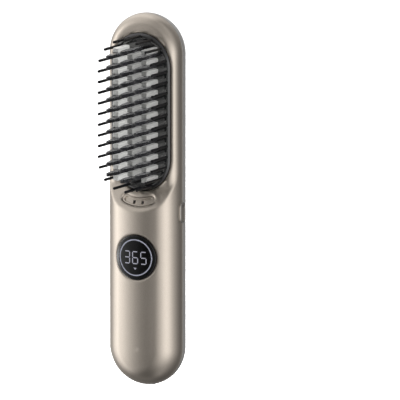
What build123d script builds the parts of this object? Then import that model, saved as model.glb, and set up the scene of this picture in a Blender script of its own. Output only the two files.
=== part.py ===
from build123d import *
from math import asin, atan, cos, degrees, radians, sin, sqrt
import os

# Cordless heated comb: an upright capsule whose upper front carries a heated comb.
# Millimetres. X to the right, Y to the back, Z up. The origin is the mouth of the
# charging port at the bottom tip, in the parting plane of the two shells.
# "Depth" in a name is a distance forward of that plane, along -Y.

# Body
length = 210.0
half_width = 22.4
side_radius = 13.0
front_depth = 14.0
wall = 1.8

# Head: flatter than the handle, reached by a sloped scoop
head_depth = 7.8
head_corner = 5.5
scoop_start = 99.8
scoop_slope = 0.46

# Parting line
seam_gap = 0.2
seam_depth = 0.35
lip_height = 1.2
lip_thickness = 0.75
lip_inset = 1.0
lip_clearance = 0.05

# Comb opening and comb frame
opening_side_margin = 3.6
opening_top_margin = 10.4
opening_scoop_margin = 10.6
comb_gap = 0.2
comb_depth = 8.0
comb_thickness = 1.8
bead_height = 0.9
bead_width = 3.4
skirt_thickness = 1.4
flange_reach = 0.7
flange_thickness = 1.6
flange_depth = 4.4

# Bristles and heating posts
row_pitch = 6.0
row_overrun = 11.0
guard_inset = 1.7
guard_diameter = 1.6
guard_tip_depth = 26.2
guard_tip_share = 0.48
guard_angles = (-50.0, -25.0, 0.0, 25.0, 50.0)
column_spacing = 9.0
blade_root_width = 2.2
blade_width = 4.4
blade_tip_width = 1.4
blade_thickness = 1.8
blade_neck_depth = 11.0
blade_wide_depth = 20.0
blade_tip_depth = 30.6
post_width = 3.6
post_height = 2.6
post_drop = 0.25
post_depth = 20.5
post_rounding = 0.45
post_gap = 0.2
root_gap = 0.05

# Heater
heater_margin = 1.2
heater_thickness = 2.4
element_width = 14.0
element_thickness = 2.0
element_overrun = 6.2
element_gap = 4.0
mica_thickness = 0.3
clamp_thickness = 0.5
clamp_margin = 1.4
comb_screw_edge = 3.7
comb_boss_diameter = 4.4
fuse_diameter = 2.2
fuse_length = 8.0
sensor_width = 2.0
sensor_length = 4.0
sensor_thickness = 1.5
sensor_offset = 16.0

# Ion vent in the scoop
vent_rise = 5.2
vent_radius = 20.0
vent_band = 4.6
vent_width = 20.3
vent_recess = 0.4
vent_gap = 0.15
vent_pocket_band = 2.8
vent_pocket_width = 17.6
vent_pocket_depth = 0.7
vent_flange = 0.8
vent_flange_thickness = 0.8
slit_spacing = 5.2
slit_width = 1.5
slit_height = 2.0
emitter_width = 9.0
emitter_height = 3.6
emitter_thickness = 2.0
needle_diameter = 0.7
needle_length = 1.6
ion_block_width = 17.0
ion_block_height = 36.0
ion_block_thickness = 6.6
ion_block_drop = 27.0

# Display
display_height = 73.8
display_radius = 12.6
display_gap = 0.1
bezel_sink = 4.1
bezel_rise = 0.8
bezel_rounding = 0.5
bezel_flange_reach = 0.6
bezel_flange_thickness = 0.5
ring_inner_radius = 9.55
ring_width = 1.0
lens_rise = 0.55
lens_thickness = 2.25
lens_gap = 0.02
digit_radius = 9.2
digit_thickness = 1.75
board_thickness = 1.0
display_board_radius = 11.8

# Side key
key_drop = 0.9
key_length = 11.9
key_width = 5.8
key_rim = 0.6
key_gap = 0.1
key_proud = 0.05
key_rounding = 0.25
key_rim_depth = 2.25
key_flange = 0.5
key_flange_thickness = 0.8
key_travel = 0.4
key_stop_gap = 0.05
plunger_diameter = 3.0
plunger_gap = 0.05
plunger_length = 3.6
plunger_rest_gap = 0.02
switch_size = 6.2
switch_thickness = 3.6
switch_nose = 1.9
switch_board_width = 8.0
switch_board_height = 11.0

# Boards
main_board_clearance = 1.5
main_board_rise = 6.2
main_board_margin = 5.6
main_board_thickness = 1.2
notch_drop = 6.5

# Cells
cell_diameter = 18.4
cell_length = 65.0
cell_bottom = 17.5
cell_gap = 0.2
tab_thickness = 0.25
tab_width = 8.0
tab_reach = 5.0
cradle_edge_depth = 4.5
cradle_wall = 1.6
cradle_margin = 4.9
cradle_gap = 0.1

# Charging port
port_width = 8.94
port_height = 3.26
port_length = 7.3
port_corner = 1.2
port_metal = 0.3
port_depth = 6.2
port_set_back = 0.3
tongue_width = 6.7
tongue_thickness = 0.7
tongue_length = 4.4
port_gap = 0.1
port_bezel_width = 12.4
port_bezel_height = 6.4
port_bezel_length = 3.0
charge_board_half_width = 8.5
charge_board_bottom = 3.4
charge_board_top = 15.0
charge_board_clearance = 0.3
rib_height = 8.5
rib_thickness = 1.5
rib_half_width = 5.0

# Shell screws
screw_diameter = 2.0
screw_head_diameter = 3.8
screw_head_height = 1.4
screw_gap = 0.1
screw_seat = 3.0
screw_bite = 4.2
boss_diameter = 5.0
bore_diameter = 4.2
top_screw_inset = 7.0
middle_screw_rise = 3.5
middle_screw_offset = 3.6
low_screw_height = 11.5
low_screw_offset = 3.1
support_diameter = 2.4
support_spacing = 36.0

# Derived places
low_centre = half_width
high_centre = length - half_width
side_centre = half_width - side_radius
front_radius = (side_centre**2 + front_depth**2 - side_radius**2) / (2 * (front_depth - side_radius))
front_angle = degrees(asin(side_centre / (front_radius - side_radius)))
corner_depth = head_depth - head_corner
corner_reach = side_radius - head_corner
corner_angle = degrees(asin(corner_depth / corner_reach))
corner_column = side_centre + sqrt(corner_reach**2 - corner_depth**2)
scoop_tilt = degrees(atan(scoop_slope))
back_inside = side_radius - wall

opening_radius = half_width - opening_side_margin
opening_bottom = scoop_start + opening_scoop_margin
comb_straight = length - opening_top_margin - opening_bottom - 2 * opening_radius
comb_centre = (length - opening_top_margin + opening_bottom) / 2
comb_back = comb_depth - comb_thickness
comb_radius = opening_radius - comb_gap
comb_half = comb_straight / 2
flange_back = flange_depth - flange_thickness
heater_back = comb_back - heater_thickness
element_back = heater_back - element_thickness
mica_back = element_back - mica_thickness
clamp_back = mica_back - clamp_thickness

guard_radius = comb_radius - guard_inset
heater_radius = comb_radius - skirt_thickness - heater_margin
element_length = comb_straight / 2 + element_overrun - element_gap / 2
element_spacing = element_length + element_gap
comb_screw_spacing = comb_straight + 2 * (heater_radius - comb_screw_edge)

rows_each_way = int((comb_half + row_overrun) / row_pitch)
rows_a = [comb_centre + row_pitch * k for k in range(rows_each_way, -rows_each_way - 1, -1)]
rows_b = [z - row_pitch / 2 for z in rows_a[:-1]]
post_places = [(side * column_spacing, z - post_drop) for z in rows_a for side in (-1, 1)]
post_places += [(0.0, z - post_drop) for z in rows_b]
blade_places = [(side * column_spacing, z) for z in rows_b for side in (-1, 1)]
blade_places += [(0.0, z) for z in rows_a]


def loop_column(radius, height):
    # Half width of the stadium-shaped loop at a height
    past = max(abs(height - comb_centre) - comb_half, 0.0)
    return sqrt(radius**2 - past**2)


guard_places = [(side * loop_column(guard_radius, z), z) for z in rows_a[1:-1] for side in (-1, 1)]
guard_places += [
    (
        guard_radius * sin(radians(angle)),
        comb_centre + end * (comb_half + guard_radius * cos(radians(angle))),
    )
    for end in (-1, 1)
    for angle in guard_angles
]
comb_screw_places = [(0.0, comb_centre + end * comb_screw_spacing / 2) for end in (-1, 1)]

vent_height = scoop_start + vent_rise
key_height = scoop_start - key_drop
key_face = half_width + key_proud
key_rim_back = key_face - key_rim_depth
cell_top = cell_bottom + cell_length
cradle_bottom = cell_bottom - tab_thickness - cradle_gap - cradle_wall
cradle_top = cell_top + tab_thickness + cradle_gap + cradle_wall
main_board_bottom = cradle_top + main_board_clearance
main_board_top = scoop_start + main_board_rise
main_board_half_width = half_width - main_board_margin
notch_bottom = key_height - notch_drop
cradle_half_width = half_width - cradle_margin

top_screw_places = [(0.0, length - top_screw_inset)]
middle_screw_height = main_board_bottom + middle_screw_rise
middle_screw_places = [(side * (side_centre + middle_screw_offset), middle_screw_height) for side in (-1, 1)]
low_screw_places = [(side * (side_centre + low_screw_offset), low_screw_height) for side in (-1, 1)]
support_column = comb_radius - support_diameter / 4
direct_screw_places = top_screw_places + low_screw_places
support_places = [
    (side * support_column, comb_centre + end * support_spacing / 2)
    for side in (-1, 1)
    for end in (-1, 1)
]

screw_hole = screw_diameter + 2 * screw_gap
scoop_plane = Plane(
    origin=(0, -front_depth, scoop_start),
    x_dir=(1, 0, 0),
    z_dir=(0, -cos(radians(scoop_tilt)), sin(radians(scoop_tilt))),
)


def facing(depth):
    # Plane seen from the front, with X to the right and Z up, this far forward
    return Plane.XZ.offset(depth)


def half_section(inset, head):
    # Right half of the horizontal section, moved inward by inset
    end = corner_angle if head else 90 - front_angle
    with BuildSketch() as section:
        with BuildLine():
            Line((0, side_radius - inset), (side_centre, side_radius - inset))
            CenterArc((side_centre, 0), side_radius - inset, -end, 90 + end)
            if head:
                CenterArc((corner_column, -corner_depth), head_corner - inset, -90, 90 - corner_angle)
                Line((corner_column, -(head_depth - inset)), (0, -(head_depth - inset)))
                Line((0, -(head_depth - inset)), (0, side_radius - inset))
            else:
                CenterArc((0, front_radius - front_depth), front_radius - inset, -90, front_angle)
                Line((0, -(front_depth - inset)), (0, side_radius - inset))
        make_face()
    return section.sketch


def column(inset, head, bottom):
    # Straight length of the body from bottom up to the centre of the top dome, and that dome
    with BuildPart() as solid:
        with BuildSketch(Plane.XY.offset(bottom)):
            add(half_section(inset, head))
            mirror(about=Plane.YZ)
        extrude(amount=high_centre - bottom)
        with BuildSketch(Plane.XY.offset(high_centre)):
            add(half_section(inset, head))
        revolve(axis=Axis((0, 0, high_centre), (0, -1, 0)), revolution_arc=180)
    return solid.part


def body(inset):
    # Whole outside form, moved inward by inset
    with BuildPart() as solid:
        add(column(inset, False, low_centre))
        with BuildSketch(Plane.XY.offset(low_centre)):
            add(half_section(inset, False))
        revolve(axis=Axis((0, 0, low_centre), (0, 1, 0)), revolution_arc=180)
        split(bisect_by=scoop_plane.offset(-inset), keep=Keep.BOTTOM)
        add(column(inset, True, scoop_start))
    return solid.part


def stadium(plane, radius, straight, height):
    # Upright stadium outline centred on X = 0
    with BuildSketch(plane) as outline:
        with Locations((0, height)):
            SlotOverall(straight + 2 * radius, 2 * radius, rotation=90)
    return outline.sketch


def crescent(depth, width, band):
    # Band bent like the lower end of the comb opening, drawn on the scoop
    plane = scoop_plane.offset(-depth)
    rise = (vent_height - scoop_start) / cos(radians(scoop_tilt))
    half_angle = degrees(asin((width - band) / 2 / vent_radius))
    arc = CenterArc((0, rise + vent_radius), vent_radius, -90 - half_angle, 2 * half_angle)
    with BuildSketch(plane) as outline:
        SlotArc(arc, band)
    return outline.sketch


outer = body(0)
cavity = body(wall)
mid_wall = body(wall / 2)

# Seam line round the outside where the shells meet
with BuildPart() as seam:
    add(outer)
    add(body(seam_depth), mode=Mode.SUBTRACT)
    extrude(stadium(facing(-seam_gap / 2), half_width * 2, length, length / 2),
            amount=seam_gap, mode=Mode.INTERSECT)

# Lip that the back shell puts into the front shell
with BuildPart() as lip:
    extrude(stadium(facing(0), half_width - lip_inset, length - 2 * half_width, length / 2),
            amount=lip_height)
    extrude(stadium(facing(0), half_width - lip_inset - lip_thickness, length - 2 * half_width, length / 2),
            amount=lip_height, mode=Mode.SUBTRACT)

# Slot that the lip goes into
with BuildPart() as lip_slot:
    extrude(stadium(facing(0), half_width - lip_inset + lip_clearance, length - 2 * half_width, length / 2),
            amount=lip_height + lip_clearance)
    extrude(stadium(facing(0), half_width - 2 * wall, length - 2 * half_width, length / 2),
            amount=lip_height + lip_clearance, mode=Mode.SUBTRACT)

# Hole for the side key and its bezel, through the right wall of both shells
with BuildPart() as key_hole:
    with BuildSketch(Plane.YZ.offset(back_inside + wall)):
        with Locations((0, key_height)):
            SlotOverall(key_length, key_width, rotation=90)
    extrude(amount=half_width)

# Hole for the charging port bezel, through the bottom of both shells
with BuildPart() as port_hole:
    with BuildSketch(Plane.XY.offset(-wall)):
        SlotOverall(port_bezel_width + 2 * port_gap, port_bezel_height + 2 * port_gap)
    extrude(amount=port_bezel_length + wall)

# Screw bosses of the front shell
with BuildPart() as front_bosses:
    with BuildSketch(facing(0)):
        with Locations(*(direct_screw_places + middle_screw_places)):
            Circle(boss_diameter / 2)
    extrude(amount=front_depth)
    add(mid_wall, mode=Mode.INTERSECT)

with BuildPart() as front_shell:
    add(outer)
    split(bisect_by=Plane.XZ, keep=Keep.TOP)
    add(cavity, mode=Mode.SUBTRACT)
    add(front_bosses.part)
    with BuildSketch(facing(0)):
        with Locations(*(direct_screw_places + middle_screw_places)):
            Circle(screw_hole / 2)
    extrude(amount=screw_bite, mode=Mode.SUBTRACT)
    extrude(stadium(facing(wall), opening_radius, comb_straight, comb_centre),
            amount=front_depth, mode=Mode.SUBTRACT)
    with BuildSketch(facing(wall)):
        with Locations((0, display_height)):
            Circle(display_radius)
    extrude(amount=front_depth, mode=Mode.SUBTRACT)
    extrude(crescent(2 * wall, vent_width + 2 * vent_gap, vent_band + 2 * vent_gap),
            amount=3 * wall, mode=Mode.SUBTRACT)
    add(key_hole.part, mode=Mode.SUBTRACT)
    add(port_hole.part, mode=Mode.SUBTRACT)
    add(lip_slot.part, mode=Mode.SUBTRACT)
    add(seam.part, mode=Mode.SUBTRACT)
front_shell.part.label = "front_shell"

# Screw bosses, comb supports and board rib of the back shell
with BuildPart() as back_bosses:
    with BuildSketch(facing(0)):
        with Locations(*direct_screw_places):
            Circle(boss_diameter / 2)
    extrude(amount=-side_radius)
    with BuildSketch(facing(-main_board_thickness)):
        with Locations(*middle_screw_places):
            Circle(boss_diameter / 2)
    extrude(amount=-side_radius)
    with BuildSketch(facing(0)):
        with Locations(*support_places):
            Circle(support_diameter / 2)
    extrude(amount=-side_radius)
    with BuildSketch(facing(-port_height / 2 - board_thickness)):
        with Locations((0, rib_height)):
            Rectangle(2 * rib_half_width, rib_thickness)
    extrude(amount=-side_radius)
    add(mid_wall, mode=Mode.INTERSECT)

with BuildPart() as back_shell:
    add(outer)
    split(bisect_by=Plane.XZ, keep=Keep.BOTTOM)
    add(cavity, mode=Mode.SUBTRACT)
    add(back_bosses.part)
    with BuildSketch(facing(0)):
        with Locations(*support_places):
            Circle(support_diameter / 2)
    extrude(amount=flange_back)
    add(lip.part)
    with BuildSketch(facing(0)):
        with Locations(*(direct_screw_places + middle_screw_places)):
            Circle(screw_hole / 2)
    extrude(amount=-side_radius, mode=Mode.SUBTRACT)
    with BuildSketch(facing(-screw_seat)):
        with Locations(*(direct_screw_places + middle_screw_places)):
            Circle(bore_diameter / 2)
    extrude(amount=-side_radius, mode=Mode.SUBTRACT)
    add(key_hole.part, mode=Mode.SUBTRACT)
    add(port_hole.part, mode=Mode.SUBTRACT)
    add(seam.part, mode=Mode.SUBTRACT)
back_shell.part.label = "back_shell"

with BuildPart() as shell_screws:
    with BuildSketch(facing(-screw_seat)):
        with Locations(*(direct_screw_places + middle_screw_places)):
            Circle(screw_head_diameter / 2)
    extrude(amount=-screw_head_height)
    with BuildSketch(facing(-screw_seat)):
        with Locations(*(direct_screw_places + middle_screw_places)):
            Circle(screw_diameter / 2)
    extrude(amount=screw_seat + screw_bite - screw_gap)
shell_screws.part.label = "shell_screws"

# Leaf-shaped blade lying flat in the plane Z = 0, root at the back of the comb frame
with BuildPart() as blade:
    with BuildSketch() as blade_outline:
        with BuildLine():
            Line((0, -comb_back), (blade_root_width / 2, -comb_back))
            Line((blade_root_width / 2, -comb_back), (blade_root_width / 2, -blade_neck_depth))
            Spline(
                (blade_root_width / 2, -blade_neck_depth),
                (blade_width / 2, -blade_wide_depth),
                (blade_tip_width / 2, -(blade_tip_depth - blade_tip_width / 2)),
                tangents=[(0, -1), (-0.28, -1)],
            )
            ThreePointArc(
                (blade_tip_width / 2, -(blade_tip_depth - blade_tip_width / 2)),
                (
                    blade_tip_width / 2 * cos(radians(45)),
                    -(blade_tip_depth - blade_tip_width / 2 * (1 - sin(radians(45)))),
                ),
                (0, -blade_tip_depth),
            )
            Line((0, -blade_tip_depth), (0, -comb_back))
        make_face()
        mirror(about=Plane.YZ)
    extrude(amount=blade_thickness / 2, both=True)

with BuildPart() as inner_bristles:
    with Locations(*[(x, 0, z) for x, z in blade_places]):
        add(blade.part)
inner_bristles.part.label = "inner_bristles"

with BuildPart() as guard_bristles:
    with BuildSketch(facing(comb_back)):
        with Locations(*guard_places):
            Circle(guard_diameter / 2)
    extrude(amount=guard_tip_depth - comb_back)
    fillet(guard_bristles.edges().group_by(Axis.Y)[0], guard_diameter * guard_tip_share)
guard_bristles.part.label = "guard_bristles"

# Rounded border of the comb frame, an arched strip swept round the loop
bead_radius = comb_radius - bead_width / 2
with BuildPart() as bead:
    with BuildSketch(Plane((bead_radius, -comb_depth, comb_centre), x_dir=(1, 0, 0), z_dir=(0, 0, -1))):
        with BuildLine():
            ThreePointArc((-bead_width / 2, 0), (0, bead_height), (bead_width / 2, 0))
            Line((bead_width / 2, 0), (-bead_width / 2, 0))
        make_face()
    sweep(path=stadium(facing(comb_depth), bead_radius, comb_straight, comb_centre).face().outer_wire())

with BuildPart() as comb_frame:
    extrude(stadium(facing(comb_back), comb_radius, comb_straight, comb_centre), amount=comb_thickness)
    add(bead.part)
    extrude(stadium(facing(flange_back), comb_radius, comb_straight, comb_centre),
            amount=comb_back - flange_back)
    extrude(stadium(facing(flange_back), comb_radius + flange_reach, comb_straight, comb_centre),
            amount=flange_thickness)
    extrude(stadium(facing(flange_back), comb_radius - skirt_thickness, comb_straight, comb_centre),
            amount=comb_back - flange_back, mode=Mode.SUBTRACT)
    with BuildSketch(facing(mica_back)):
        with Locations(*comb_screw_places):
            Circle(comb_boss_diameter / 2)
    extrude(amount=comb_back - mica_back)
    with BuildSketch(facing(mica_back)):
        with Locations(*comb_screw_places):
            Circle(screw_hole / 2)
    extrude(amount=comb_back - mica_back, mode=Mode.SUBTRACT)
    with BuildSketch(facing(comb_back)):
        with Locations(*post_places):
            RectangleRounded(post_width + 2 * post_gap, post_height + 2 * post_gap, post_rounding + post_gap)
        with Locations(*blade_places):
            Rectangle(blade_root_width + 2 * root_gap, blade_thickness + 2 * root_gap)
        with Locations(*guard_places):
            Circle(guard_diameter / 2 + root_gap)
    extrude(amount=comb_thickness + bead_height, mode=Mode.SUBTRACT)
comb_frame.part.label = "comb_frame"

with BuildPart() as heater_plate:
    extrude(stadium(facing(heater_back), heater_radius, comb_straight, comb_centre), amount=heater_thickness)
    with BuildSketch(facing(heater_back)):
        with Locations(*post_places):
            RectangleRounded(post_width, post_height, post_rounding)
    extrude(amount=post_depth - heater_back)
    fillet(heater_plate.edges().group_by(Axis.Y)[0], post_rounding)
    with BuildSketch(facing(heater_back)):
        with Locations(*comb_screw_places):
            Circle(comb_boss_diameter / 2 + post_gap)
    extrude(amount=heater_thickness, mode=Mode.SUBTRACT)
heater_plate.part.label = "heater_plate"

with BuildPart() as heater_elements:
    with BuildSketch(facing(element_back)):
        with Locations((0, comb_centre - element_spacing / 2), (0, comb_centre + element_spacing / 2)):
            Rectangle(element_width, element_length)
    extrude(amount=element_thickness)
heater_elements.part.label = "heater_elements"

with BuildPart() as heater_insulator:
    extrude(stadium(facing(mica_back), heater_radius - clamp_margin, comb_straight, comb_centre),
            amount=mica_thickness)
    with BuildSketch(facing(mica_back)):
        with Locations(*comb_screw_places):
            Circle(comb_boss_diameter / 2 + post_gap)
    extrude(amount=mica_thickness, mode=Mode.SUBTRACT)
heater_insulator.part.label = "heater_insulator"

with BuildPart() as heater_clamp:
    extrude(stadium(facing(clamp_back), heater_radius - clamp_margin, comb_straight, comb_centre),
            amount=clamp_thickness)
    with BuildSketch(facing(clamp_back)):
        with Locations(*comb_screw_places):
            Circle(screw_hole / 2)
    extrude(amount=clamp_thickness, mode=Mode.SUBTRACT)
heater_clamp.part.label = "heater_clamp"

with BuildPart() as comb_screws:
    with BuildSketch(facing(clamp_back)):
        with Locations(*comb_screw_places):
            Circle(screw_head_diameter / 2)
    extrude(amount=-screw_head_height)
    with BuildSketch(facing(clamp_back)):
        with Locations(*comb_screw_places):
            Circle(screw_diameter / 2)
    extrude(amount=comb_back - clamp_back - screw_gap)
comb_screws.part.label = "comb_screws"

with BuildPart() as thermal_fuse:
    with BuildSketch(Plane.XY.offset(comb_centre - fuse_length / 2)):
        with Locations((0, fuse_diameter / 2 - clamp_back)):
            Circle(fuse_diameter / 2)
    extrude(amount=fuse_length)
thermal_fuse.part.label = "thermal_fuse"

with BuildPart() as temperature_sensor:
    with BuildSketch(facing(clamp_back)):
        with Locations((0, comb_centre + sensor_offset)):
            RectangleRounded(sensor_width, sensor_length, sensor_width / 4)
    extrude(amount=-sensor_thickness)
temperature_sensor.part.label = "temperature_sensor"

with BuildPart() as ion_vent:
    extrude(crescent(wall, vent_width, vent_band), amount=wall - vent_recess)
    flange_outline = crescent(wall + vent_flange_thickness, vent_width + 2 * vent_flange,
                              vent_band + 2 * vent_flange)
    extrude(flange_outline, amount=vent_flange_thickness)
    extrude(crescent(vent_recess + vent_pocket_depth, vent_pocket_width, vent_pocket_band),
            amount=vent_pocket_depth, mode=Mode.SUBTRACT)
    with BuildSketch(scoop_plane.offset(-wall - vent_flange_thickness)):
        rise = (vent_height - scoop_start) / cos(radians(scoop_tilt))
        with Locations((-slit_spacing / 2, rise), (slit_spacing / 2, rise)):
            Rectangle(slit_width, slit_height)
    extrude(amount=wall + vent_flange_thickness, mode=Mode.SUBTRACT)
ion_vent.part.label = "ion_vent"

with BuildPart() as ion_emitter:
    with BuildSketch(scoop_plane.offset(-wall - vent_flange_thickness)):
        with Locations((0, (vent_height - scoop_start) / cos(radians(scoop_tilt)))):
            Rectangle(emitter_width, emitter_height)
    extrude(amount=-emitter_thickness)
    with BuildSketch(scoop_plane.offset(-wall - vent_flange_thickness)):
        needle_rise = (vent_height - scoop_start) / cos(radians(scoop_tilt))
        with Locations((-slit_spacing / 2, needle_rise), (slit_spacing / 2, needle_rise)):
            Circle(needle_diameter / 2)
    extrude(amount=needle_length)
ion_emitter.part.label = "ion_emitter"

with BuildPart() as ion_module:
    with BuildSketch(facing(-back_inside)):
        with Locations((0, comb_centre - ion_block_drop + ion_block_height / 2)):
            Rectangle(ion_block_width, ion_block_height)
    extrude(amount=ion_block_thickness)
    fillet(ion_module.edges().filter_by(Axis.Y), wall / 2)
ion_module.part.label = "ion_module"

ring_outer_radius = ring_inner_radius + ring_width
bezel_back_depth = front_depth - bezel_sink
lens_back_depth = front_depth + lens_rise - lens_thickness
digit_back_depth = lens_back_depth - digit_thickness

# The display's front follows the curve of the body and stands a little proud of it
display_skin = column(-lens_rise, False, low_centre)
bezel_skin = column(-bezel_rise, False, low_centre)


def display_disc(radius, depth, amount):
    # Round disc on the display's axis, from a depth forward
    with BuildPart() as disc:
        with BuildSketch(facing(depth)):
            with Locations((0, display_height)):
                Circle(radius)
        extrude(amount=amount)
    return disc.part


with BuildPart() as display_bezel:
    add(display_disc(display_radius - display_gap, bezel_back_depth, front_depth))
    add(bezel_skin, mode=Mode.INTERSECT)
    front_edges = display_bezel.edges().filter_by(GeomType.LINE, reverse=True)
    fillet(front_edges.filter_by_position(Axis.Y, -2 * front_depth, -lens_back_depth), bezel_rounding)
    add(display_disc(display_radius + bezel_flange_reach, bezel_back_depth, bezel_flange_thickness))
    add(display_disc(ring_outer_radius + lens_gap, lens_back_depth, front_depth), mode=Mode.SUBTRACT)
    add(display_disc(digit_radius + lens_gap, bezel_back_depth, front_depth), mode=Mode.SUBTRACT)
    add(display_disc(display_board_radius + lens_gap, bezel_back_depth, digit_back_depth - bezel_back_depth),
        mode=Mode.SUBTRACT)
display_bezel.part.label = "display_bezel"

with BuildPart() as light_ring:
    add(display_disc(ring_outer_radius, lens_back_depth, front_depth))
    add(display_disc(ring_inner_radius, lens_back_depth, front_depth), mode=Mode.SUBTRACT)
    add(display_skin, mode=Mode.INTERSECT)
light_ring.part.label = "light_ring"

with BuildPart() as display_lens:
    add(display_disc(ring_inner_radius - lens_gap, lens_back_depth, front_depth))
    add(display_skin, mode=Mode.INTERSECT)
display_lens.part.label = "display_lens"

with BuildPart() as digit_module:
    add(display_disc(digit_radius, digit_back_depth, digit_thickness))
digit_module.part.label = "digit_module"

with BuildPart() as display_board:
    add(display_disc(display_board_radius, bezel_back_depth, digit_back_depth - bezel_back_depth))
display_board.part.label = "display_board"

rim_half_width = key_width / 2 - key_rim
rim_half_length = key_length / 2 - key_rim
flange_front = key_rim_back - key_stop_gap
plunger_tip = flange_front - key_flange_thickness - plunger_rest_gap
switch_front = plunger_tip - switch_nose
switch_back = switch_front - switch_thickness

with BuildPart() as button_bezel:
    with BuildSketch(Plane.YZ.offset(key_rim_back)):
        with Locations((0, key_height)):
            SlotOverall(key_length - 2 * key_gap, key_width - 2 * key_gap, rotation=90)
            SlotOverall(2 * rim_half_length, 2 * rim_half_width, rotation=90, mode=Mode.SUBTRACT)
    extrude(amount=key_face - key_rim_back)
    fillet(button_bezel.edges().group_by(Axis.X)[-1], key_rounding / 2)
button_bezel.part.label = "button_bezel"

with BuildPart() as power_button:
    with BuildSketch(Plane.YZ.offset(flange_front)):
        with Locations((0, key_height)):
            SlotOverall(2 * (rim_half_length - key_gap), 2 * (rim_half_width - key_gap), rotation=90)
    extrude(amount=key_face - flange_front)
    fillet(power_button.edges().group_by(Axis.X)[-1], key_rounding)
    with BuildSketch(Plane.YZ.offset(flange_front)):
        with Locations((0, key_height)):
            SlotOverall(2 * (rim_half_length + key_flange), 2 * (rim_half_width + key_flange), rotation=90)
    extrude(amount=-key_flange_thickness)
power_button.part.label = "power_button"

with BuildPart() as switch_plunger:
    with BuildSketch(Plane.YZ.offset(plunger_tip)):
        with Locations((0, key_height)):
            Circle(plunger_diameter / 2)
    extrude(amount=-plunger_length)
switch_plunger.part.label = "switch_plunger"

with BuildPart() as switch_body:
    with BuildSketch(Plane.YZ.offset(switch_back)):
        with Locations((0, key_height)):
            Rectangle(switch_size, switch_size)
    extrude(amount=switch_thickness)
    with BuildSketch(Plane.YZ.offset(plunger_tip - plunger_length - key_travel - key_stop_gap)):
        with Locations((0, key_height)):
            Circle(plunger_diameter / 2 + plunger_gap)
    extrude(amount=switch_thickness, mode=Mode.SUBTRACT)
switch_body.part.label = "switch_body"

with BuildPart() as switch_board:
    with BuildSketch(Plane.YZ.offset(switch_back)):
        with Locations((0, key_height)):
            Rectangle(switch_board_width, switch_board_height)
    extrude(amount=-board_thickness)
switch_board.part.label = "switch_board"

with BuildPart() as main_board:
    with BuildSketch(facing(-main_board_thickness)):
        with Locations((0, (main_board_bottom + main_board_top) / 2)):
            Rectangle(2 * main_board_half_width, main_board_top - main_board_bottom)
        with Locations((switch_back - board_thickness, notch_bottom)):
            Rectangle(half_width, length, align=(Align.MIN, Align.MIN), mode=Mode.SUBTRACT)
        with Locations(*middle_screw_places):
            Circle(screw_hole / 2, mode=Mode.SUBTRACT)
    extrude(amount=main_board_thickness)
main_board.part.label = "main_board"

with BuildPart() as battery_cells:
    with BuildSketch(Plane.XY.offset(cell_bottom)):
        with Locations((-cell_diameter / 2 - cell_gap, 0), (cell_diameter / 2 + cell_gap, 0)):
            Circle(cell_diameter / 2)
    extrude(amount=cell_length)
battery_cells.part.label = "battery_cells"

with BuildPart() as cell_tabs:
    with BuildSketch(Plane.XY.offset(cell_bottom - tab_thickness)):
        Rectangle(2 * (cell_diameter / 2 + tab_reach), tab_width)
    extrude(amount=tab_thickness)
    with BuildSketch(Plane.XY.offset(cell_top)):
        Rectangle(2 * (cell_diameter / 2 + tab_reach), tab_width)
    extrude(amount=tab_thickness)
cell_tabs.part.label = "cell_tabs"

with BuildPart() as battery_cradle:
    with BuildSketch(Plane.XY.offset(cradle_bottom)):
        with Locations((0, cradle_edge_depth)):
            Rectangle(2 * cradle_half_width, side_radius, align=(Align.CENTER, Align.MIN))
    extrude(amount=cradle_top - cradle_bottom)
    add(body(wall + cradle_gap), mode=Mode.INTERSECT)
    with BuildSketch(Plane.XY.offset(cell_bottom - tab_thickness - cradle_gap)):
        with Locations((-cell_diameter / 2 - cell_gap, 0), (cell_diameter / 2 + cell_gap, 0)):
            Circle(cell_diameter / 2 + cradle_gap)
        Rectangle(cell_diameter, cell_diameter)
    extrude(amount=cell_length + 2 * (tab_thickness + cradle_gap), mode=Mode.SUBTRACT)
battery_cradle.part.label = "battery_cradle"

with BuildPart() as usb_port:
    with BuildSketch(Plane.XY.offset(port_set_back)):
        RectangleRounded(port_width, port_height, port_corner)
    extrude(amount=port_length)
    with BuildSketch(Plane.XY.offset(port_set_back)):
        RectangleRounded(port_width - 2 * port_metal, port_height - 2 * port_metal, port_corner - port_metal)
    extrude(amount=port_depth, mode=Mode.SUBTRACT)
usb_port.part.label = "usb_port"

with BuildPart() as usb_tongue:
    with BuildSketch(Plane.XY.offset(port_set_back + port_depth)):
        Rectangle(tongue_width, tongue_thickness)
    extrude(amount=-tongue_length)
usb_tongue.part.label = "usb_tongue"

with BuildPart() as port_bezel:
    with BuildSketch():
        SlotOverall(port_bezel_width, port_bezel_height)
        RectangleRounded(port_width + 2 * port_gap, port_height + 2 * port_gap, port_corner + port_gap,
                         mode=Mode.SUBTRACT)
    extrude(amount=port_bezel_length)
    add(outer, mode=Mode.INTERSECT)
port_bezel.part.label = "port_bezel"

with BuildPart() as charge_board:
    with BuildSketch(facing(-port_height / 2)):
        with Locations((0, charge_board_bottom)):
            Rectangle(2 * charge_board_half_width, charge_board_top - charge_board_bottom,
                      align=(Align.CENTER, Align.MIN))
    extrude(amount=-board_thickness)
    add(body(wall + charge_board_clearance), mode=Mode.INTERSECT)
charge_board.part.label = "charge_board"

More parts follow.
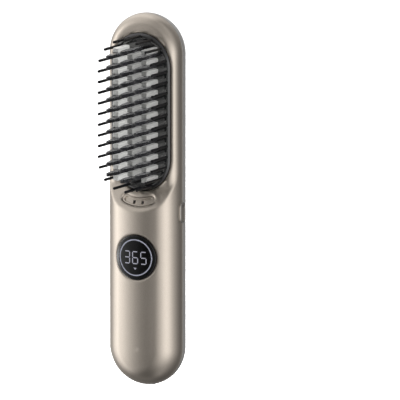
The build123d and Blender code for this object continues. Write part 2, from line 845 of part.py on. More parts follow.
os.makedirs("parts", exist_ok=True)
pieces = [
    front_shell, back_shell, shell_screws, comb_frame, guard_bristles, inner_bristles,
    heater_plate, heater_elements, heater_insulator, heater_clamp, comb_screws,
    thermal_fuse, temperature_sensor, ion_vent, ion_emitter, ion_module,
    display_bezel, light_ring, display_lens, digit_module, display_board,
    button_bezel, power_button, switch_plunger, switch_body, switch_board, main_board,
    battery_cells, cell_tabs, battery_cradle, usb_port, usb_tongue, port_bezel, charge_board,
]
for piece in pieces:
    export_step(piece.part, f"parts/{piece.part.label}.step")
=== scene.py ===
import bpy, bmesh, math
from mathutils import Matrix, Vector


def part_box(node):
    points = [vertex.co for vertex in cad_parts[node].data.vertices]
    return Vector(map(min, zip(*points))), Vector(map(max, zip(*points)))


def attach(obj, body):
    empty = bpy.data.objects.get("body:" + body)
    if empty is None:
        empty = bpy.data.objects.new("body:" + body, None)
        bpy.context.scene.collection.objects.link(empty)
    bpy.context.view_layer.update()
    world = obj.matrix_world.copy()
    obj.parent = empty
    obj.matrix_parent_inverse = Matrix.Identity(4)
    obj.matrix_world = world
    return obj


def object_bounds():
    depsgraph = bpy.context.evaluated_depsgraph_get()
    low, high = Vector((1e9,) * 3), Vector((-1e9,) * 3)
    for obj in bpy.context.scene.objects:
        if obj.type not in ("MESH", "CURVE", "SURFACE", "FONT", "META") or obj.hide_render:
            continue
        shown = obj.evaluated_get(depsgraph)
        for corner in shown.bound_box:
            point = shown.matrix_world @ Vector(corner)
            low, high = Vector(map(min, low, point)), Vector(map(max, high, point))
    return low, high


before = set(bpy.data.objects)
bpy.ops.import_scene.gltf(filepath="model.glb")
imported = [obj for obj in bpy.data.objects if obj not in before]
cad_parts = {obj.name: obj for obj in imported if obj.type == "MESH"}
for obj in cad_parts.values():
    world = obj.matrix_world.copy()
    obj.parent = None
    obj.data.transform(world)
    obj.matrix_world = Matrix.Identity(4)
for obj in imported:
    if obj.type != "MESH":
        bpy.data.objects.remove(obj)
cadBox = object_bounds()
print("frame loaded:", len(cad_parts), "nodes")

mm = 0.001


def hexToLinear(code):
    channels = [int(code[i:i + 2], 16) / 255 for i in (0, 2, 4)]
    return tuple(c / 12.92 if c <= 0.04045 else ((c + 0.055) / 1.055) ** 2.4 for c in channels) + (1.0,)


def addNode(tree, kind, settings=None, sockets=None, links=None):
    # settings are the node's own fields, sockets its constants, links its inputs from other nodes
    node = tree.nodes.new(kind)
    for field, value in (settings or {}).items():
        setattr(node, field, value)
    for name, value in (sockets or {}).items():
        node.inputs[name].default_value = value
    for name, (source, output) in (links or {}).items():
        tree.links.new(source.outputs[output], node.inputs[name])
    return node


def startMaterial(name):
    material = bpy.data.materials.new(name)
    material.use_nodes = True
    material.node_tree.nodes.clear()
    place = addNode(material.node_tree, "ShaderNodeTexCoord")
    return material, material.node_tree, place


def setStops(ramp, stops):
    # stops are (position, colour) from left to right
    while len(ramp.elements) > 1:
        ramp.elements.remove(ramp.elements[-1])
    ramp.elements[0].position, ramp.elements[0].color = stops[0]
    for position, colour in stops[1:]:
        ramp.elements.new(position).color = colour


def metallicLacquer(name, look):
    # Satin two-coat car-type lacquer over moulded ABS: fine aluminium flake under a clear coat,
    # so it mirrors broad soft shapes and has no visible grain beyond a faint sparkle
    material, tree, place = startMaterial(name)
    flake = addNode(tree, "ShaderNodeTexVoronoi", {"feature": "F1"},
                    {"Scale": 1 / (look["flakeMm"] * mm)}, {"Vector": (place, "Object")})
    flakeTone = addNode(tree, "ShaderNodeValToRGB", links={"Fac": (flake, "Color")})
    setStops(flakeTone.color_ramp, [(0.0, hexToLinear(look["dark"])), (0.5, hexToLinear(look["middle"])),
                                    (1.0, hexToLinear(look["light"]))])
    orangePeel = addNode(tree, "ShaderNodeTexNoise", sockets={"Scale": 1 / (look["peelMm"] * mm), "Detail": 2.0},
                         links={"Vector": (place, "Object")})
    bump = addNode(tree, "ShaderNodeBump", sockets={"Strength": look["peel"], "Distance": 0.02 * mm},
                   links={"Height": (orangePeel, "Fac")})
    handling = addNode(tree, "ShaderNodeTexNoise", sockets={"Scale": 1 / (14 * mm), "Detail": 4.0},
                       links={"Vector": (place, "Object")})
    roughness = addNode(tree, "ShaderNodeMapRange",
                        sockets={"To Min": look["roughness"] - 0.02, "To Max": look["roughness"] + 0.02},
                        links={"Value": (handling, "Fac")})
    edge = addNode(tree, "ShaderNodeBevel", {"samples": 8}, {"Radius": look["edgeMm"] * mm})
    tree.links.new(edge.outputs["Normal"], bump.inputs["Normal"])
    shader = addNode(tree, "ShaderNodeBsdfPrincipled",
                     sockets={"Metallic": look["metallic"], "Coat Weight": look["coat"], "Coat Roughness": 0.12,
                              "Coat IOR": 1.5},
                     links={"Base Color": (flakeTone, "Color"), "Roughness": (roughness, "Result"),
                            "Normal": (bump, "Normal")})
    addNode(tree, "ShaderNodeOutputMaterial", links={"Surface": (shader, "BSDF")})
    return material


def mouldedPlastic(name, look):
    # Injection-moulded plastic: even colour, a skin that is either polished or finely spark-eroded
    material, tree, place = startMaterial(name)
    cloud = addNode(tree, "ShaderNodeTexNoise", sockets={"Scale": 1 / (6 * mm), "Detail": 3.0},
                    links={"Vector": (place, "Object")})
    tone = addNode(tree, "ShaderNodeValToRGB", links={"Fac": (cloud, "Fac")})
    setStops(tone.color_ramp, [(0.3, hexToLinear(look["dark"])), (0.7, hexToLinear(look["light"]))])
    grain = addNode(tree, "ShaderNodeTexNoise", sockets={"Scale": 1 / (look["grainMm"] * mm), "Detail": 2.0},
                    links={"Vector": (place, "Object")})
    bump = addNode(tree, "ShaderNodeBump", sockets={"Strength": look["grain"], "Distance": 0.03 * mm},
                   links={"Height": (grain, "Fac")})
    roughness = addNode(tree, "ShaderNodeMapRange",
                        sockets={"To Min": look["roughness"] - 0.03, "To Max": look["roughness"] + 0.03},
                        links={"Value": (cloud, "Fac")})
    shader = addNode(tree, "ShaderNodeBsdfPrincipled",
                     sockets={"IOR": look.get("ior", 1.5), "Coat Weight": look.get("coat", 0.0),
                              "Coat Roughness": 0.08, "Coat IOR": look.get("coatIor", 1.5),
                              "Sheen Weight": look.get("sheen", 0.0),
                              "Sheen Roughness": 0.3},
                     links={"Base Color": (tone, "Color"), "Roughness": (roughness, "Result"),
                            "Normal": (bump, "Normal")})
    addNode(tree, "ShaderNodeOutputMaterial", links={"Surface": (shader, "BSDF")})
    return material


def workedMetal(name, look):
    # Metal with the marks of its making: fine lines along one axis from drawing, rolling or brushing; where the look
    # asks for it, a painted shade also dims the colour across X
    material, tree, place = startMaterial(name)
    stretch = addNode(tree, "ShaderNodeMapping", sockets={"Scale": look["lineScale"]},
                      links={"Vector": (place, "Object")})
    lines = addNode(tree, "ShaderNodeTexNoise", sockets={"Scale": 1 / (look["lineMm"] * mm), "Detail": 4.0},
                    links={"Vector": (stretch, "Vector")})
    tone = addNode(tree, "ShaderNodeValToRGB", links={"Fac": (lines, "Fac")})
    setStops(tone.color_ramp, [(0.3, hexToLinear(look["dark"])), (0.7, hexToLinear(look["light"]))])
    colour = (tone, "Color")
    if "paintedShadeSpan" in look:
        # Painted shade: the colour dims from the left edge of the span to the middle plane, standing in for light
        # falling off across the heater posts
        across = addNode(tree, "ShaderNodeSeparateXYZ", links={"Vector": (place, "Object")})
        shade = addNode(tree, "ShaderNodeMapRange",
                        sockets={"From Min": -look["paintedShadeSpan"] * mm, "From Max": 0.0,
                                 "To Min": 1.0, "To Max": look["paintedShadeDimmest"]},
                        links={"Value": (across, "X")})
        paintedShadeTone = addNode(tree, "ShaderNodeVectorMath", {"operation": "SCALE"},
                         links={0: colour, "Scale": (shade, "Result")})
        colour = (paintedShadeTone, "Vector")
    roughness = addNode(tree, "ShaderNodeMapRange",
                        sockets={"To Min": look["roughness"] - 0.05, "To Max": look["roughness"] + 0.05},
                        links={"Value": (lines, "Fac")})
    bump = addNode(tree, "ShaderNodeBump", sockets={"Strength": look["bump"], "Distance": 0.02 * mm},
                   links={"Height": (lines, "Fac")})
    shader = addNode(tree, "ShaderNodeBsdfPrincipled", sockets={"Metallic": look.get("metallic", 1.0)},
                     links={"Base Color": colour, "Roughness": (roughness, "Result"),
                            "Normal": (bump, "Normal")})
    addNode(tree, "ShaderNodeOutputMaterial", links={"Surface": (shader, "BSDF")})
    return material


def circuitBoard(name, look):
    # Glass-epoxy laminate under a satin green solder mask: traces show as slightly raised paler lanes
    material, tree, place = startMaterial(name)
    traces = addNode(tree, "ShaderNodeTexBrick", {"offset": 0.5},
                     {"Scale": 1 / (look["traceMm"] * mm), "Mortar Size": 0.08, "Color1": hexToLinear(look["mask"]),
                      "Color2": hexToLinear(look["maskDeep"]), "Mortar": hexToLinear(look["trace"])},
                     {"Vector": (place, "Object")})
    weave = addNode(tree, "ShaderNodeTexWave", {"wave_type": "BANDS"}, {"Scale": 1 / (0.5 * mm)},
                    {"Vector": (place, "Object")})
    bump = addNode(tree, "ShaderNodeBump", sockets={"Strength": 0.2, "Distance": 0.02 * mm},
                   links={"Height": (weave, "Fac")})
    shader = addNode(tree, "ShaderNodeBsdfPrincipled", sockets={"Roughness": 0.35, "IOR": 1.55},
                     links={"Base Color": (traces, "Color"), "Normal": (bump, "Normal")})
    addNode(tree, "ShaderNodeOutputMaterial", links={"Surface": (shader, "BSDF")})
    return material


def mineralSheet(name, look):
    # Fired or layered mineral: chalky, speckled, with pores a fraction of a millimetre wide
    material, tree, place = startMaterial(name)
    specks = addNode(tree, "ShaderNodeTexVoronoi", {"feature": "F1"}, {"Scale": 1 / (look["speckMm"] * mm)},
                     {"Vector": (place, "Object")})
    tone = addNode(tree, "ShaderNodeValToRGB", links={"Fac": (specks, "Color")})
    setStops(tone.color_ramp, [(0.0, hexToLinear(look["dark"])), (0.4, hexToLinear(look["light"]))])
    bump = addNode(tree, "ShaderNodeBump", sockets={"Strength": 0.4, "Distance": 0.05 * mm},
                   links={"Height": (specks, "Distance")})
    shader = addNode(tree, "ShaderNodeBsdfPrincipled", sockets={"Roughness": look["roughness"], "IOR": 1.58},
                     links={"Base Color": (tone, "Color"), "Normal": (bump, "Normal")})
    addNode(tree, "ShaderNodeOutputMaterial", links={"Surface": (shader, "BSDF")})
    return material


def tintedWindow(name, look):
    # Polished black-tinted PMMA window: near black, mirror smooth, with a hard clear surface
    material, tree, place = startMaterial(name)
    haze = addNode(tree, "ShaderNodeTexNoise", sockets={"Scale": 1 / (9 * mm), "Detail": 3.0},
                   links={"Vector": (place, "Object")})
    tone = addNode(tree, "ShaderNodeValToRGB", links={"Fac": (haze, "Fac")})
    setStops(tone.color_ramp, [(0.3, hexToLinear(look["dark"])), (0.7, hexToLinear(look["light"]))])
    roughness = addNode(tree, "ShaderNodeMapRange", sockets={"To Min": 0.08, "To Max": 0.12},
                        links={"Value": (haze, "Fac")})
    shader = addNode(tree, "ShaderNodeBsdfPrincipled", sockets={"IOR": 1.45},
                     links={"Base Color": (tone, "Color"), "Roughness": (roughness, "Result")})
    addNode(tree, "ShaderNodeOutputMaterial", links={"Surface": (shader, "BSDF")})
    return material


def frostedGuide(name, look):
    # Frosted polycarbonate light guide under a dark window: a fine pale line of light round its middle,
    # fading into the dark towards both rims
    material, tree, place = startMaterial(name)
    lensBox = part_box("display_lens")
    fromAxis = addNode(tree, "ShaderNodeVectorMath", {"operation": "SUBTRACT"}, links={0: (place, "Object")})
    fromAxis.inputs[1].default_value = (0.0, 0.0, (lensBox[0].z + lensBox[1].z) / 2)
    flat = addNode(tree, "ShaderNodeVectorMath", {"operation": "MULTIPLY"}, links={0: (fromAxis, "Vector")})
    flat.inputs[1].default_value = (1.0, 0.0, 1.0)
    reach = addNode(tree, "ShaderNodeVectorMath", {"operation": "LENGTH"}, links={0: (flat, "Vector")})
    across = addNode(tree, "ShaderNodeMapRange",
                     sockets={"From Min": look["inner"] * mm, "From Max": look["outer"] * mm},
                     links={"Value": (reach, "Value")})
    tone = addNode(tree, "ShaderNodeValToRGB", links={"Fac": (across, "Result")})
    setStops(tone.color_ramp, [(0.1, hexToLinear(look["dark"])), (0.4, hexToLinear(look["light"])),
                               (0.6, hexToLinear(look["light"])), (0.9, hexToLinear(look["dark"]))])
    shader = addNode(tree, "ShaderNodeBsdfPrincipled",
                     sockets={"Roughness": 0.3, "IOR": 1.58, "Emission Strength": look["glow"]},
                     links={"Base Color": (tone, "Color"), "Emission Color": (tone, "Color")})
    addNode(tree, "ShaderNodeOutputMaterial", links={"Surface": (shader, "BSDF")})
    return material


def litSegment(name, look):
    # Lit LED segment seen through its diffuser: even cool white, a little brighter in the middle
    material, tree, place = startMaterial(name)
    cloud = addNode(tree, "ShaderNodeTexNoise", sockets={"Scale": 1 / (1.5 * mm), "Detail": 1.0},
                    links={"Vector": (place, "Object")})
    tone = addNode(tree, "ShaderNodeValToRGB", links={"Fac": (cloud, "Fac")})
    setStops(tone.color_ramp, [(0.3, hexToLinear(look["dark"])), (0.7, hexToLinear(look["light"]))])
    shader = addNode(tree, "ShaderNodeBsdfPrincipled",
                     sockets={"Base Color": hexToLinear("202024"), "Roughness": 0.4,
                              "Emission Strength": look["glow"]},
                     links={"Emission Color": (tone, "Color")})
    addNode(tree, "ShaderNodeOutputMaterial", links={"Surface": (shader, "BSDF")})
    return material


finishes = {
    "frontLacquer": {"dark": "CDC1B3", "middle": "DCD1C4", "light": "E6DCD0", "flakeMm": 0.12, "peelMm": 1.6,
                     "peel": 0.05, "roughness": 0.32, "metallic": 1.0, "coat": 0.1, "edgeMm": 2.6},
    "backLacquer": {"dark": "C4C1BC", "middle": "D2D0CC", "light": "DEDCD8", "flakeMm": 0.12, "peelMm": 1.6,
                    "peel": 0.05, "roughness": 0.32, "metallic": 1.0, "coat": 0.1, "edgeMm": 0.8},
    "ventLacquer": {"dark": "CDC1B3", "middle": "DCD1C4", "light": "E6DCD0", "flakeMm": 0.12, "peelMm": 1.6,
                    "peel": 0.05, "roughness": 0.32, "metallic": 1.0, "coat": 0.1, "edgeMm": 0.3},
    "keyRimPlate": {"dark": "D8D4CE", "middle": "E6E3DE", "light": "F0EEEA", "flakeMm": 0.2, "peelMm": 2.0,
                    "peel": 0.03, "roughness": 0.16, "metallic": 1.0, "coat": 0.3, "edgeMm": 0.2},
    "keyFaceLacquer": {"dark": "B5ADA3", "middle": "C5BEB5", "light": "D0CAC2", "flakeMm": 0.12, "peelMm": 1.6,
                       "peel": 0.05, "roughness": 0.32, "metallic": 1.0, "coat": 0.1, "edgeMm": 0.3},
}
lacquers = {name: metallicLacquer(name, look) for name, look in finishes.items()}

plasticLooks = {
    "combNylon": {"dark": "060607", "light": "0A0A0B", "grainMm": 0.3, "grain": 0.03, "roughness": 0.16, "coat": 1.0,
                  "coatIor": 1.7},
    "bristleNylon": {"dark": "040405", "light": "08080A", "grainMm": 0.3, "grain": 0.03, "roughness": 0.42,
                     "ior": 1.4},
    "bladeNylon": {"dark": "0B0B0D", "light": "131316", "grainMm": 0.3, "grain": 0.03, "roughness": 0.2,
                   "coat": 0.1, "sheen": 0.25},
    "pianoBlackAbs": {"dark": "030304", "light": "050506", "grainMm": 1.0, "grain": 0.01, "roughness": 0.15,
                      "ior": 1.45},
    "sparkErodedAbs": {"dark": "141415", "light": "1C1C1E", "grainMm": 0.15, "grain": 0.4, "roughness": 0.5},
    "switchNylon": {"dark": "2A2A2C", "light": "353538", "grainMm": 0.2, "grain": 0.3, "roughness": 0.45},
    "pottingResin": {"dark": "1A1B1F", "light": "24262B", "grainMm": 1.2, "grain": 0.2, "roughness": 0.3},
    "cellWrapPvc": {"dark": "2B6AA8", "light": "3A7CBC", "grainMm": 0.8, "grain": 0.05, "roughness": 0.25},
    "sensorEpoxy": {"dark": "15151A", "light": "202028", "grainMm": 0.5, "grain": 0.1, "roughness": 0.2},
}
plastics = {name: mouldedPlastic(name, look) for name, look in plasticLooks.items()}

metalLooks = {
    # The heater posts' aluminium has painted shade: its colour dims from the left edge towards the middle plane
    "blastedAluminiumPaintedShade": {"dark": "D6D6D3", "light": "ECECE9", "lineScale": (1, 1, 1), "lineMm": 0.3,
                         "roughness": 0.36, "bump": 0.15, "metallic": 0.55, "paintedShadeSpan": 9.0, "paintedShadeDimmest": 0.52},
    "platedScrewSteel": {"dark": "9A9A9C", "light": "BDBDBF", "lineScale": (1, 1, 1), "lineMm": 0.4,
                         "roughness": 0.3, "bump": 0.1},
    "springSteel": {"dark": "A2A3A4", "light": "C0C1C2", "lineScale": (0.1, 1, 1), "lineMm": 0.3,
                    "roughness": 0.35, "bump": 0.15},
    "nickelStrip": {"dark": "B9B6AD", "light": "D3D0C8", "lineScale": (0.1, 1, 1), "lineMm": 0.3,
                    "roughness": 0.28, "bump": 0.1},
    "tinnedCan": {"dark": "B5B2A4", "light": "CFCCBE", "lineScale": (1, 1, 0.1), "lineMm": 0.4,
                  "roughness": 0.3, "bump": 0.1},
    "deepDrawnSteel": {"dark": "A9AAAC", "light": "C6C7C9", "lineScale": (1, 1, 0.1), "lineMm": 0.25,
                       "roughness": 0.25, "bump": 0.1},
}
metals = {name: workedMetal(name, look) for name, look in metalLooks.items()}

solderMask = circuitBoard("solderMaskLaminate", {"mask": "17553A", "maskDeep": "124832", "trace": "2C7A55",
                                                "traceMm": 1.8})
firedCeramic = mineralSheet("firedAluminaCeramic", {"dark": "D8D4C8", "light": "EAE7DE", "speckMm": 0.25,
                                                    "roughness": 0.7})
micaSheet = mineralSheet("pressedMicaSheet", {"dark": "A08A58", "light": "C7B585", "speckMm": 0.6,
                                              "roughness": 0.45})
tintedPmma = tintedWindow("tintedPmmaWindow", {"dark": "020203", "light": "040406"})
lightGuide = frostedGuide("frostedPolycarbonate", {"dark": "0C0C10", "light": "9C9EAE", "glow": 0.18, "inner": 9.55,
                                                  "outer": 10.55})
digitLight = litSegment("litDigitSegment", {"dark": "B8B8C8", "light": "C8C8D8", "glow": 0.62})

nodeFinishes = {
    "front_shell": lacquers["frontLacquer"],
    "back_shell": lacquers["backLacquer"],
    "port_bezel": lacquers["backLacquer"],
    "ion_vent": lacquers["ventLacquer"],
    "button_bezel": lacquers["keyRimPlate"],
    "power_button": lacquers["keyFaceLacquer"],
    "comb_frame": plastics["combNylon"],
    "guard_bristles": plastics["bristleNylon"],
    "inner_bristles": plastics["bladeNylon"],
    "display_bezel": plastics["pianoBlackAbs"],
    "display_lens": tintedPmma,
    "light_ring": lightGuide,
    "digit_module": plastics["sparkErodedAbs"],
    "heater_plate": metals["blastedAluminiumPaintedShade"],
    "heater_elements": firedCeramic,
    "heater_insulator": micaSheet,
    "heater_clamp": metals["springSteel"],
    "comb_screws": metals["platedScrewSteel"],
    "shell_screws": metals["platedScrewSteel"],
    "thermal_fuse": metals["tinnedCan"],
    "temperature_sensor": plastics["sensorEpoxy"],
    "ion_emitter": plastics["sparkErodedAbs"],
    "ion_module": plastics["pottingResin"],
    "display_board": solderMask,
    "main_board": solderMask,
    "switch_board": solderMask,
    "charge_board": solderMask,
    "switch_plunger": plastics["switchNylon"],
    "switch_body": plastics["switchNylon"],
    "battery_cells": plastics["cellWrapPvc"],
    "cell_tabs": metals["nickelStrip"],
    "battery_cradle": plastics["sparkErodedAbs"],
    "usb_port": metals["deepDrawnSteel"],
    "usb_tongue": plastics["sparkErodedAbs"],
}
for nodeName, finish in nodeFinishes.items():
    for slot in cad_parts[nodeName].material_slots:
        slot.material = finish
print("finishes given to", len(nodeFinishes), "nodes")


def newPiece(name, mesh, finish, body):
    # Turns a finished bmesh into an object at the origin that rides on a body
    data = bpy.data.meshes.new(name)
    mesh.to_mesh(data)
    mesh.free()
    piece = bpy.data.objects.new(name, data)
    bpy.context.scene.collection.objects.link(piece)
    data.materials.append(finish)
    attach(piece, body)
    return piece


def addBar(mesh, centre, size, lean, point):
    # Flat bar facing the front with both ends cut to a point, turned by lean about the Y axis
    made = bmesh.ops.create_cube(mesh, size=1.0)
    bmesh.ops.scale(mesh, vec=size, verts=made["verts"])
    edges = {edge for vert in made["verts"] for edge in vert.link_edges}
    sides = [edge for edge in edges if abs((edge.verts[0].co - edge.verts[1].co).normalized().y) > 0.9]
    cut = bmesh.ops.bevel(mesh, geom=sides, offset=point, affect="EDGES", segments=1, profile=0.5, material=-1)
    cutVerts = {vert for face in cut["faces"] for vert in face.verts}
    barVerts = list(cutVerts | {vert for vert in made["verts"] if vert.is_valid})
    bmesh.ops.rotate(mesh, cent=(0, 0, 0), matrix=Matrix.Rotation(lean, 3, "Y"), verts=barVerts)
    bmesh.ops.translate(mesh, vec=centre, verts=barVerts)


def wrapOnLens(mesh, middle, radius):
    # Bends a flat mesh round the upright cylinder that the window's front follows
    for vert in mesh.verts:
        away = vert.co.x - middle
        vert.co.y += radius - math.sqrt(radius ** 2 - away ** 2)


# Digits: three seven-segment figures that glow through the window
digits = {"figures": "365", "width": 3.8 * mm, "height": 7.3 * mm, "pitch": 5.15 * mm, "stroke": 0.56 * mm,
          "gap": 0.26 * mm, "thickness": 0.04 * mm, "rise": 0.05 * mm, "lensCurve": 58.2 * mm, "point": 0.3}
lensLow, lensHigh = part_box("display_lens")
displayZ = (lensLow.z + lensHigh.z) / 2
glassY = lensLow.y - digits["rise"]
lit = {"3": "abcdg", "6": "acdefg", "5": "acdfg"}
figureMesh = bmesh.new()
for place, figure in enumerate(digits["figures"]):
    middleX = (place - 1) * digits["pitch"]
    t = digits["stroke"]
    w, h = (digits["width"] - t) / 2, (digits["height"] - t) / 2
    barWide, barTall = 2 * w - digits["gap"] * 2, h - digits["gap"] * 2
    bars = {"a": (0, h, 0), "g": (0, 0, 0), "d": (0, -h, 0), "f": (-w, h / 2, 1), "b": (w, h / 2, 1),
            "e": (-w, -h / 2, 1), "c": (w, -h / 2, 1)}
    for letter in lit[figure]:
        x, z, upright = bars[letter]
        addBar(figureMesh, (middleX + x, glassY, displayZ + z),
               (barTall if upright else barWide, digits["thickness"], t),
               math.pi / 2 if upright else 0.0, t * digits["point"])
wrapOnLens(figureMesh, 0.0, digits["lensCurve"])
newPiece("displayDigits", figureMesh, digitLight, "casing")

# Heat mark under the digits: a small wedge that points down
heatMark = {"width": 2.2 * mm, "height": 1.5 * mm, "drop": 6.1 * mm, "thickness": 0.04 * mm}
markMesh = bmesh.new()
wedge = bmesh.ops.create_cone(markMesh, cap_ends=True, segments=3, radius1=heatMark["width"] / 2,
                              radius2=heatMark["width"] / 2, depth=heatMark["thickness"])
bmesh.ops.rotate(markMesh, cent=(0, 0, 0), matrix=Matrix.Rotation(math.pi / 2, 3, "X"), verts=wedge["verts"])
bmesh.ops.scale(markMesh, vec=(1, 1, -heatMark["height"] / heatMark["width"]), verts=wedge["verts"])
bmesh.ops.translate(markMesh, vec=(0, glassY, displayZ - heatMark["drop"]), verts=wedge["verts"])
bmesh.ops.recalc_face_normals(markMesh, faces=markMesh.faces[:])
wrapOnLens(markMesh, 0.0, digits["lensCurve"])
newPiece("displayHeatMark", markMesh, digitLight, "casing")

# Key mark: a small ring printed near the top of the key
keyMark = {"radius": 0.65 * mm, "line": 0.14 * mm, "up": 3.6 * mm, "stand": 0.01 * mm, "sides": 8, "steps": 32,
           "merge": 0.002 * mm}
keyLow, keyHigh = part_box("power_button")
ringMesh = bmesh.new()
ringLine = bmesh.ops.create_circle(ringMesh, segments=keyMark["sides"], radius=keyMark["line"] / 2, cap_ends=True)
bmesh.ops.translate(ringMesh, vec=(0, keyMark["radius"], 0), verts=ringLine["verts"])
bmesh.ops.rotate(ringMesh, cent=(0, 0, 0), matrix=Matrix.Rotation(math.pi / 2, 3, "Y"), verts=ringLine["verts"])
bmesh.ops.rotate(ringMesh, cent=(0, 0, 0), matrix=Matrix.Rotation(math.pi / 2, 3, "Y"), verts=ringLine["verts"])
bmesh.ops.spin(ringMesh, geom=ringMesh.verts[:] + ringMesh.edges[:] + ringMesh.faces[:], cent=(0, 0, 0),
               axis=(1, 0, 0), angle=2 * math.pi, steps=keyMark["steps"], use_merge=True)
bmesh.ops.remove_doubles(ringMesh, verts=ringMesh.verts[:], dist=keyMark["merge"])
bmesh.ops.recalc_face_normals(ringMesh, faces=ringMesh.faces[:])
bmesh.ops.translate(ringMesh, vec=(keyHigh.x + keyMark["stand"], 0, (keyLow.z + keyHigh.z) / 2 + keyMark["up"]),
                    verts=ringMesh.verts[:])
newPiece("keyRingMark", ringMesh, plastics["sparkErodedAbs"], "power_key")
print("display and key marks made")

# Camera: long lens, a little above and to the right of the front; nearer than a hundred times the
# object's radius, so that the other views, which clip there, still show the object
camera = {"azimuth": 28.8, "elevation": 9.4, "distance": 6.0, "pixelsPerMm": 1.787, "frame": 400,
          "originPixel": (147.9, 383.8), "sensor": 36, "reach": 60}
a, e = math.radians(camera["azimuth"]), math.radians(camera["elevation"])
toCamera = Vector((math.sin(a) * math.cos(e), -math.cos(a) * math.cos(e), math.sin(e)))
rightward = Vector((math.cos(a), math.sin(a), 0))
upward = toCamera.cross(rightward)
halfFrame = camera["frame"] / 2
perMm = camera["pixelsPerMm"]
aim = rightward * ((halfFrame - camera["originPixel"][0]) / perMm * mm) \
    + upward * ((camera["originPixel"][1] - halfFrame) / perMm * mm)
cameraData = bpy.data.cameras.new("camera")
cameraData.sensor_width = camera["sensor"]
cameraData.lens = camera["sensor"] * camera["distance"] / (camera["frame"] / perMm * mm)
cameraData.clip_end = camera["reach"]
cameraObject = bpy.data.objects.new("camera", cameraData)
cameraObject.location = aim + toCamera * camera["distance"]
cameraObject.rotation_euler = toCamera.to_track_quat("Z", "Y").to_euler()
bpy.context.scene.collection.objects.link(cameraObject)
bpy.context.scene.camera = cameraObject


def whereSeen(tree, low, high):
    # low for rays that light matt surfaces, high for rays from the camera, gloss or glass
    rays = addNode(tree, "ShaderNodeLightPath")
    seen = addNode(tree, "ShaderNodeMath", {"operation": "MAXIMUM"},
                   links={0: (rays, "Is Camera Ray"), 1: (rays, "Is Glossy Ray")})
    seenToo = addNode(tree, "ShaderNodeMath", {"operation": "MAXIMUM"},
                      links={0: (seen, 0), 1: (rays, "Is Transmission Ray")})
    return addNode(tree, "ShaderNodeMapRange", sockets={"To Min": low, "To Max": high},
                   links={"Value": (seenToo, 0)})


def stageObject(name, mesh, material):
    data = bpy.data.meshes.new(name)
    mesh.to_mesh(data)
    mesh.free()
    data.materials.append(material)
    thing = bpy.data.objects.new(name, data)
    bpy.context.scene.collection.objects.link(thing)
    return thing


# Floor: white paper that keeps the shadow and shows white where no shadow falls
floorLook = {"size": 16.0, "colour": "F2F2F2", "drop": 0.05 * mm, "lift": 0.6}
floorMesh = bmesh.new()
bmesh.ops.create_grid(floorMesh, x_segments=1, y_segments=1, size=floorLook["size"] / 2)
bmesh.ops.translate(floorMesh, vec=(0, 0, cadBox[0][2] - floorLook["drop"]), verts=floorMesh.verts[:])
paper, paperTree, _ = startMaterial("whitePaper")
paperDiffuse = addNode(paperTree, "ShaderNodeBsdfDiffuse", sockets={"Color": hexToLinear(floorLook["colour"])})
paperLift = addNode(paperTree, "ShaderNodeEmission",
                    links={"Strength": (whereSeen(paperTree, 0.0, floorLook["lift"]), "Result")})
paperSum = addNode(paperTree, "ShaderNodeAddShader", links={0: (paperDiffuse, "BSDF"), 1: (paperLift, "Emission")})
addNode(paperTree, "ShaderNodeOutputMaterial", links={"Surface": (paperSum, "Shader")})
floor = stageObject("paperFloor", floorMesh, paper)
floor.visible_glossy = False

# Light tent: a wide globe round the object with softboxes and dark gaps between them; the levels are
# listed by bearing for the ground, the wall and the roof, and only reflections see it
tent = {"radius": 3.0, "segments": 96, "rings": 48, "groundTop": -50, "wallLow": -14, "wallHigh": 5, "roofLow": 30,
        "ground": [(-180, 0.10), (-110, 0.17), (-70, 0.20), (-40, 0.10), (-10, 0.09), (30, 0.30), (60, 0.38),
                   (110, 0.18), (140, 0.12)],
        "wall": [(-180, 0.40), (-130, 0.45), (-90, 0.80), (-75, 1.30), (-62, 1.25), (-60, 2.20), (-53, 2.20),
                 (-50, 1.20), (-36, 0.52), (-20, 0.12), (-13, 0.08), (-6, 0.26), (12, 0.64), (39, 1.24), (52, 1.38),
                 (62, 1.20), (82, 0.62), (106, 0.26), (134, 0.10), (150, 0.22)],
        "roof": [(-180, 0.55), (-135, 0.95), (-90, 0.75), (-50, 0.72), (-30, 0.64), (-10, 0.33), (40, 0.36),
                 (70, 0.50), (110, 0.32), (140, 0.20)]}
tentMesh = bmesh.new()
bmesh.ops.create_uvsphere(tentMesh, u_segments=tent["segments"], v_segments=tent["rings"],
                          radius=tent["radius"])
cloth, clothTree, clothPlace = startMaterial("litTentCloth")
split = addNode(clothTree, "ShaderNodeSeparateXYZ", links={"Vector": (clothPlace, "Object")})
bearing = addNode(clothTree, "ShaderNodeMath", {"operation": "ARCTAN2"}, links={0: (split, "Y"), 1: (split, "X")})
share = addNode(clothTree, "ShaderNodeMapRange", sockets={"From Min": -math.pi, "From Max": math.pi},
                links={"Value": (bearing, 0)})
ratio = addNode(clothTree, "ShaderNodeMath", {"operation": "DIVIDE"}, {1: tent["radius"]}, {0: (split, "Z")})
climb = addNode(clothTree, "ShaderNodeMath", {"operation": "ARCSINE"}, links={0: (ratio, 0)})


def tentBand(stops):
    # A ramp round the globe; its position runs from the left side over the front and the right to the back
    ramp = addNode(clothTree, "ShaderNodeValToRGB", links={"Fac": (share, "Result")})
    turned = sorted((((angle + 90) % 360) / 360, level / tent["top"]) for angle, level in stops)
    setStops(ramp.color_ramp, [(place, (level, level, level, 1)) for place, level in turned])
    return ramp


def blendBands(lower, lowerOutput, upper, start, end):
    step = addNode(clothTree, "ShaderNodeMapRange",
                   sockets={"From Min": math.radians(start), "From Max": math.radians(end)},
                   links={"Value": (climb, 0)})
    blend = addNode(clothTree, "ShaderNodeMix", {"data_type": "RGBA"}, links={"Factor": (step, "Result")})
    clothTree.links.new(lower.outputs[lowerOutput], blend.inputs[6])
    clothTree.links.new(upper.outputs["Color"], blend.inputs[7])
    return blend


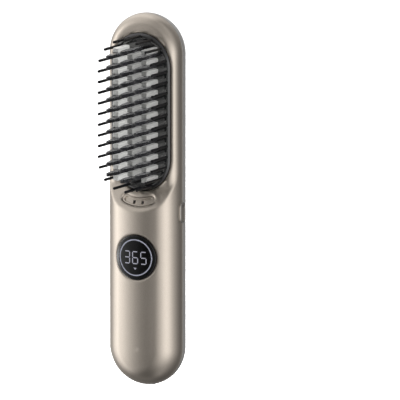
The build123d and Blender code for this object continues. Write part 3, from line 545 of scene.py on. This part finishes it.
tent["top"] = max(level for angle, level in tent["wall"])
lowBlend = blendBands(tentBand(tent["ground"]), "Color", tentBand(tent["wall"]), tent["groundTop"], tent["wallLow"])
fullBlend = blendBands(lowBlend, 2, tentBand(tent["roof"]), tent["wallHigh"], tent["roofLow"])
glow = addNode(clothTree, "ShaderNodeEmission", sockets={"Strength": tent["top"]})
clothTree.links.new(fullBlend.outputs[2], glow.inputs["Color"])
addNode(clothTree, "ShaderNodeOutputMaterial", links={"Surface": (glow, "Emission")})
tentObject = stageObject("lightTent", tentMesh, cloth)
for sight in ("visible_camera", "visible_diffuse", "visible_shadow", "visible_transmission"):
    setattr(tentObject, sight, False)

# Lamps: a broad key from the upper left front; the side and top lights have no shadow, so that they
# reach between the blades as light from all round would
lampAim = Vector((0, 0, 0.1))
lampLooks = {
    "keyLamp": {"place": (-0.7, -0.9, 0.9), "size": 0.8, "power": 2.0, "shadow": True},
    "sideLamp": {"place": (1.15, 0.45, 0.35), "size": 0.7, "power": 27.0, "shadow": False},
    "topLamp": {"place": (0.1, 0.4, 1.2), "size": 0.6, "power": 20.0, "shadow": False},
}
for lampName, look in lampLooks.items():
    lampData = bpy.data.lights.new(lampName, "AREA")
    lampData.size = look["size"]
    lampData.energy = look["power"]
    lampData.use_shadow = look["shadow"]
    lamp = bpy.data.objects.new(lampName, lampData)
    lamp.location = look["place"]
    lamp.visible_glossy = False
    lamp.rotation_euler = (Vector(look["place"]) - lampAim).to_track_quat("Z", "Y").to_euler()
    bpy.context.scene.collection.objects.link(lamp)

# Strip light: a tall narrow softbox at the left that only the glossy black bezel shows
strip = {"bearing": -56, "distance": 1.5, "place": -0.19, "wide": 0.26, "tall": 1.4, "power": 10.0}
stripData = bpy.data.lights.new("stripLamp", "AREA")
stripData.shape = "RECTANGLE"
stripData.size, stripData.size_y = strip["wide"], strip["tall"]
stripData.energy = strip["power"]
stripData.use_shadow = False
stripLamp = bpy.data.objects.new("stripLamp", stripData)
stripTurn = math.radians(strip["bearing"])
stripLamp.location = (math.sin(stripTurn) * strip["distance"], -math.cos(stripTurn) * strip["distance"],
                      strip["place"])
stripLamp.rotation_euler = (math.pi / 2, 0, stripTurn)
bpy.context.scene.collection.objects.link(stripLamp)
glossyRim = bpy.data.collections.new("glossyRim")
glossyRim.objects.link(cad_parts["display_bezel"])
stripLamp.light_linking.receiver_collection = glossyRim

# World: white where the camera, gloss or glass sees it, softer where it lights matt surfaces
world = bpy.data.worlds.new("studio")
bpy.context.scene.world = world
world.use_nodes = True
world.node_tree.nodes.clear()
worldLevels = {"matt": 0.5, "seen": 1.0}
level = whereSeen(world.node_tree, worldLevels["matt"], worldLevels["seen"])
sky = addNode(world.node_tree, "ShaderNodeBackground", sockets={"Color": (1, 1, 1, 1)},
              links={"Strength": (level, "Result")})
addNode(world.node_tree, "ShaderNodeOutputWorld", links={"Surface": (sky, "Background")})
bpy.context.scene.view_settings.view_transform = "Standard"
print("camera, floor and light made")
